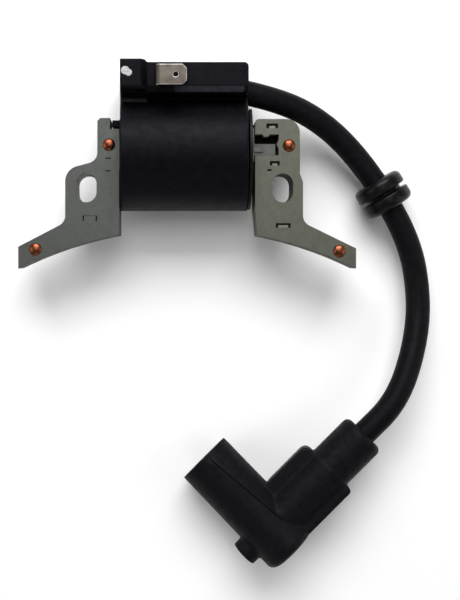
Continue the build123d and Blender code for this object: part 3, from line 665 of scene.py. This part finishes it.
# The last closed sheet's face, the floor of the notch round the tongue, takes the painted shade:
# near-black where shade falls.
painted_shade_sheet = Sheet(closed_outline, front=SHADOW)
right_layers = layers_between(Sheet(closed_outline), 0.0, NOTCH_FLOOR, painted_shade_sheet)
marked_sheet = Sheet(right_outline, right_marks)
right_layers += layers_between(Sheet(right_outline), NOTCH_FLOOR, STACK_TOP, marked_sheet)
lamination_stack("left_laminations", "left_core_stack", left_layers, STEEL_LEFT)
lamination_stack("right_laminations", "right_core_stack", right_layers, STEEL_RIGHT)


RIVETS = [(-0.0242, 0.0139), (-0.0477, -0.0196), (0.0335, 0.0136), (0.0496, -0.0202)]
HEAD_R = 2.0 * MM
HEAD_H = 0.9 * MM
SHANK_R = 1.5 * MM


def rivets(name):
    """Copper rivets through the stack, with domed heads on both faces."""
    bm = bmesh.new()
    count, steps = 48, 10
    dome = [math.pi / 2 * i / steps for i in range(1, steps + 1)]
    side = [(HEAD_R * math.sin(angle), HEAD_H * math.cos(angle)) for angle in dome]
    profile = [(r, STACK_TOP + z) for r, z in side] + [(SHANK_R, STACK_TOP), (SHANK_R, 0.0)]
    profile += [(r, -z) for r, z in reversed(side)]
    angles = [2 * math.pi * i / count for i in range(count)]
    for x, y in RIVETS:
        rings = []
        for r, z in profile:
            rings.append([bm.verts.new((x + r * math.cos(a), y + r * math.sin(a), z)) for a in angles])
        for upper, lower in zip(rings, rings[1:]):
            join_rings(bm, upper, lower)
        close_ring(bm, rings[0], (x, y, STACK_TOP + HEAD_H))
        close_ring(bm, rings[-1], (x, y, -HEAD_H))
    mesh = to_mesh(bm, name)
    smooth_by_angle(mesh, 50)
    add_object(name, mesh, [COPPER], "root", ["core_rivets"])


rivets("copper_rivets")

# ---- Case ----------------------------------------------------------------------------------------
# Where a highlight is painted on the case in a paler material, as corners in millimetres: the box's
# lower front edge and the ledge that the collar stands on.
BOX_EDGE = ((-3.0, 28.8, 21.8), (18.4, 30.7, 23.1))
LEDGE_EDGE = ((-20.6, 27.0, 15.0), (-12.0, 28.3, 16.4))


def paint_highlight(mesh, low, high):
    """Gives the faces between two corners the mesh's second material, the painted highlight."""
    for polygon in mesh.polygons:
        if all(a < at < b for a, at, b in zip(low, polygon.center, high)):
            polygon.material_index = 1


case_mesh = moulded(clean_copy("coil_case"), "coil_housing", voxel=0.27 * MM, passes=4, keep=0.4)
smooth_by_angle(case_mesh, 180)
add_object("coil_housing", case_mesh, [CASE_BLACK, CASE_HIGHLIGHT], "root", ["coil_case"])
for low, high in (BOX_EDGE, LEDGE_EDGE):
    paint_highlight(case_mesh, Vector(low) * MM, Vector(high) * MM)


DAB_LOBES = [(-0.38, 0.25, 1.33), (0.64, -0.40, 1.12)]  # overlapping drops, each (x, y, radius) in mm
DAB_WOBBLE = 0.015
DAB_MIDDLE = Vector((-17.95 * MM, 35.0 * MM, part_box("coil_case")[1].z - 0.02 * MM))
DAB_T = 0.08 * MM
DAB_EDGE = ((1.0, -0.2), (0.96, 0.5), (0.86, 0.9), (0.5, 1.0))  # shares of its outline and thickness


def paint_mark(name):
    """A thin dab of paint whose outline runs round its drops."""
    bm = bmesh.new()
    count = 48
    outline = []
    for i in range(count):
        angle = 2 * math.pi * i / count
        way = Vector((math.cos(angle), math.sin(angle)))
        reach = 0.0
        for x, y, radius in DAB_LOBES:
            along = way.x * x + way.y * y
            reach = max(reach, along + math.sqrt(radius**2 - x * x - y * y + along**2))
        outline.append(way * reach * random.uniform(1 - DAB_WOBBLE, 1 + DAB_WOBBLE) * MM)
    rings = []
    for share, height in DAB_EDGE:
        corners = [Vector((x * share, y * share, height * DAB_T)) for x, y in outline]
        rings.append([bm.verts.new(DAB_MIDDLE + corner) for corner in corners])
    for lower, upper in zip(rings, rings[1:]):
        join_rings(bm, lower, upper)
    close_ring(bm, rings[-1], DAB_MIDDLE + Vector((0, 0, DAB_T)))
    bm.faces.new(list(reversed(rings[0])))
    mesh = to_mesh(bm, name)
    smooth_by_angle(mesh, 60)
    add_object(name, mesh, [DAB], "root")


paint_mark("paint_mark")

# ---- Spark plug cap ------------------------------------------------------------------------------
ELBOW = Vector((0.0285, -0.1111, 0.0024))
CAP_TILT = math.radians(9.0)
CABLE_DIR = Vector((1, 1, 0)).normalized()
PLUG_DIR = Vector((-1, 1, 0)).normalized() * math.cos(CAP_TILT) + Vector((0, 0, -math.sin(CAP_TILT)))
CAP_UP = CABLE_DIR.cross(PLUG_DIR)
LINE_START = Vector((2.2, 29.0)) * MM  # the parting line's ends, along the cable and the plug arm
LINE_END = Vector((5.2, -0.1)) * MM
LINE_DEPTH, LINE_W = 0.42 * MM, 0.24 * MM
RIDGE_H, RIDGE_W = 0.32 * MM, 1.5 * MM
LINE_FADE = 0.04  # how far either side of its ends it fades, as a share of its length
LINE_ABOVE = 4 * MM  # the line lies on the cap's upper side, this far over its middle
FINE_ABOVE = 5 * MM  # and the mesh is made finer this far over it,
FINE_BESIDE = 0.9 * MM  # this far either side of the line
FINE_BEYOND = 0.05  # and this share of its length past its ends


def cap_place(co):
    """A point's places along the cable arm, along the plug arm and out of the cap's upper side."""
    away = co - ELBOW
    return away.dot(CABLE_DIR), away.dot(PLUG_DIR), away.dot(CAP_UP)


def parting_line(mesh):
    """Raises a soft ridge along the plug arm's top and cuts the mould's parting line into it."""
    run = LINE_END - LINE_START
    across = Vector((run.y, -run.x)).normalized()

    def measure(co):
        along_cable, along_plug, up = cap_place(co)
        away = Vector((along_cable, along_plug)) - LINE_START
        return away.dot(run) / run.length_squared, away.dot(across), up

    def fade(share):
        return min(1.0, max(0.0, 0.5 + share / (2 * LINE_FADE)))

    bm = bmesh.new()
    bm.from_mesh(mesh)
    for _ in range(2):
        near = []
        for edge in bm.edges:
            share, off, up = measure((edge.verts[0].co + edge.verts[1].co) / 2)
            beyond = max(-share, share - 1)
            if beyond < FINE_BEYOND and abs(off) < FINE_BESIDE and up > FINE_ABOVE:
                near.append(edge)
        bmesh.ops.subdivide_edges(bm, edges=near, cuts=1, use_grid_fill=True)
    for vert in bm.verts:
        share, off, up = measure(vert.co)
        if up > LINE_ABOVE:
            ridge = RIDGE_H * math.exp(-((off / RIDGE_W) ** 2))
            groove = LINE_DEPTH * math.exp(-((off / LINE_W) ** 2))
            vert.co += CAP_UP * (ridge - groove) * fade(share) * fade(1 - share)
    bmesh.ops.triangulate(bm, faces=[f for f in bm.faces if len(f.verts) > 4])
    bm.to_mesh(mesh)
    bm.free()


cap_mesh = moulded(clean_copy("cap_boot"), "plug_cap", voxel=0.34 * MM, passes=14, keep=0.5)
parting_line(cap_mesh)
smooth_by_angle(cap_mesh, 180)
cap = add_object("plug_cap", cap_mesh, [CAP_RUBBER], "cap", ["cap_boot"])

# ---- Shroud grommet ------------------------------------------------------------------------------
GROMMET_R = 8.4 * MM
GROMMET_T = 10.4 * MM
NECK_R = 6.3 * MM  # in the groove between its lips
NECK_W = 1.4 * MM
NECK_BEVEL = (0.3 * MM, 0.25 * MM)
LIP_ROUND = 2.05 * MM  # each lip's outer edge
LIP_INNER = 0.55 * MM  # its edge beside the groove
BORE_ROUND = 0.5 * MM
BORE_FIT = 0.02 * MM


def lathe(name, profile, origin, direction):
    """Turns a closed profile of (radius, distance along the axis) about an axis."""
    segments = 96
    turn = Vector((0, 0, 1)).rotation_difference(direction).to_matrix()
    bm = bmesh.new()
    rings = []
    for i in range(segments):
        angle = 2 * math.pi * i / segments
        rings.append([
            bm.verts.new(origin + turn @ Vector((r * math.cos(angle), r * math.sin(angle), z)))
            for r, z in profile
        ])
    for ring, following in zip(rings, rings[1:] + rings[:1]):
        join_rings(bm, ring, following)
    return to_mesh(bm, name)


def arc(radius, centre, start, end, steps):
    """Points (radius, distance) of an arc between two angles in degrees."""
    points = []
    for i in range(steps + 1):
        angle = math.radians(start + (end - start) * i / steps)
        points.append((centre[0] + radius * math.cos(angle), centre[1] + radius * math.sin(angle)))
    return points


def grommet_profile():
    """Half of the grommet's section, then its mirror image: two full lips with a groove between."""
    half = GROMMET_T / 2
    bore = LEAD_D / 2 + BORE_FIT
    outer = GROMMET_R - LIP_ROUND
    neck_half = NECK_W / 2
    upper = [(bore, 0.0), (bore, half - BORE_ROUND)]
    upper += arc(BORE_ROUND, (bore + BORE_ROUND, half - BORE_ROUND), 180, 90, 4)
    upper += arc(LIP_ROUND, (outer, half - LIP_ROUND), 90, 0, 8)
    upper += arc(LIP_INNER, (GROMMET_R - LIP_INNER, neck_half + LIP_INNER), 0, -90, 6)
    upper += [(NECK_R + NECK_BEVEL[0], neck_half), (NECK_R, neck_half - NECK_BEVEL[1])]
    lower = [(r, -z) for r, z in reversed(upper)]
    return upper + lower[:-1]


grommet_low, grommet_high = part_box("shroud_grommet")
grommet_middle = (grommet_low + grommet_high) / 2
grommet_axis = (Vector(LEAD_ROUTE[4]) - Vector(LEAD_ROUTE[3])).normalized()
grommet_mesh = lathe("lead_grommet", grommet_profile(), grommet_middle, grommet_axis)
smooth_by_angle(grommet_mesh, 50)
grommet = add_object(
    "lead_grommet", grommet_mesh, [GROMMET_RUBBER], "grommet", ["shroud_grommet"]
)

# ---- Metal and moulded parts that keep their CAD shape, with broken edges --------------------------
# The spade's broken edges take the painted tin highlight.
broken_edges("stop_terminal", "spade_terminal", 0.2 * MM, [TIN, TIN_HIGHLIGHT])
broken_edges("ground_strap", "earth_strap", 0.06 * MM, [DULL_TIN])
broken_edges("primary_bobbin", "bobbin_and_end_plate", 0.15 * MM, [BOBBIN_BLACK])
broken_edges("potting_compound", "potting", 0.2 * MM, [POTTING])

# ---- Carried-over CAD nodes ------------------------------------------------------------------------
NODE_FINISHES = {
    "primary_winding": WIRE,
    "secondary_bobbin": BOBBIN_BLACK,
    "secondary_winding": FINE_WIRE,
    "module_board": BOARD_GREEN,
    "power_transistor": CHIP_BLACK,
    "control_chip": CHIP_BLACK,
    "charge_capacitor": CAPACITOR,
    "module_resistors": CHIP_BLACK,
    "module_diodes": CHIP_BLACK,
    "hv_contact": BRASS,
    "lead_conductor": WIRE,
    "cap_terminal": BRASS,
    "cap_socket_sleeve": BRASS,
    "cap_clip_ring": SPRING,
}
for node_name, material in NODE_FINISHES.items():
    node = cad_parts[node_name]
    node.data.materials.clear()
    node.data.materials.append(material)
    for polygon in node.data.polygons:
        polygon.material_index = 0

# ---- Lead ------------------------------------------------------------------------------------------
lead.data.materials.append(LEAD_RUBBER)
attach(lead, "root")
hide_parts("lead_insulation")

# ---- Stage -----------------------------------------------------------------------------------------
BENCH_Z = -12.0 * MM
FLOOR_GAP = 0.02 * MM
AIM = (0.02, -0.03, 0.0)


def floor(size):
    """A round pale bench top, just under the coil's back."""
    bm = bmesh.new()
    bmesh.ops.create_circle(bm, cap_ends=True, segments=256, radius=size / 2)
    mesh = to_mesh(bm, "studio_floor")
    finish = Finish("pale_floor", (0.90, 0.90, 0.90), 0.7)
    cloud = finish.noise(40 * MM, 3.0)
    finish.paint(finish.ramp(cloud, [(0.3, (0.895, 0.895, 0.895)), (0.7, (0.91, 0.91, 0.91))]))
    mesh.materials.append(finish.material)
    obj = bpy.data.objects.new("studio_floor", mesh)
    obj.location.z = BENCH_Z - FLOOR_GAP
    bpy.context.scene.collection.objects.link(obj)
    return obj


def area_light(name, place, width, height, watts):
    """A soft box at a place, turned to face the coil."""
    data = bpy.data.lights.new(name, "AREA")
    data.shape = "RECTANGLE"
    data.size = width
    data.size_y = height
    data.energy = watts
    obj = bpy.data.objects.new(name, data)
    obj.location = place
    obj.rotation_euler = (Vector(AIM) - Vector(place)).to_track_quat("-Z", "Y").to_euler()
    bpy.context.scene.collection.objects.link(obj)


floor(1.7)
area_light("key", (0.00, 0.55, 0.58), width=0.70, height=0.42, watts=7.8)
area_light("top", (0.02, 0.24, 0.80), width=0.40, height=0.40, watts=1.5)
area_light("left_fill", (-0.72, -0.05, 0.50), width=0.6, height=0.6, watts=1.9)
area_light("right_fill", (0.75, -0.08, 0.48), width=0.6, height=0.6, watts=1.7)
area_light("low_fill", (0.0, -0.75, 0.48), width=0.6, height=0.6, watts=0.85)


def studio_room(overhead, horizon, height):
    """A dim room that grows pale towards and below the horizon; height is the sine where it is dim."""
    world = bpy.data.worlds.new("studio")
    world.use_nodes = True
    nodes, links = world.node_tree.nodes, world.node_tree.links
    direction = nodes.new("ShaderNodeTexCoord")
    split = nodes.new("ShaderNodeSeparateXYZ")
    fade = nodes.new("ShaderNodeMapRange")
    fade.interpolation_type = "SMOOTHSTEP"
    fade.inputs["From Min"].default_value = 0.0
    fade.inputs["From Max"].default_value = height
    fade.inputs["To Min"].default_value = horizon
    fade.inputs["To Max"].default_value = overhead
    links.new(direction.outputs["Generated"], split.inputs["Vector"])
    links.new(split.outputs["Z"], fade.inputs["Value"])
    links.new(fade.outputs["Result"], nodes["Background"].inputs["Strength"])
    nodes["Background"].inputs["Color"].default_value = (1.0, 1.0, 1.0, 1)
    bpy.context.scene.world = world


studio_room(overhead=0.09, horizon=0.80, height=0.35)
bpy.context.scene.view_settings.view_transform = "Standard"
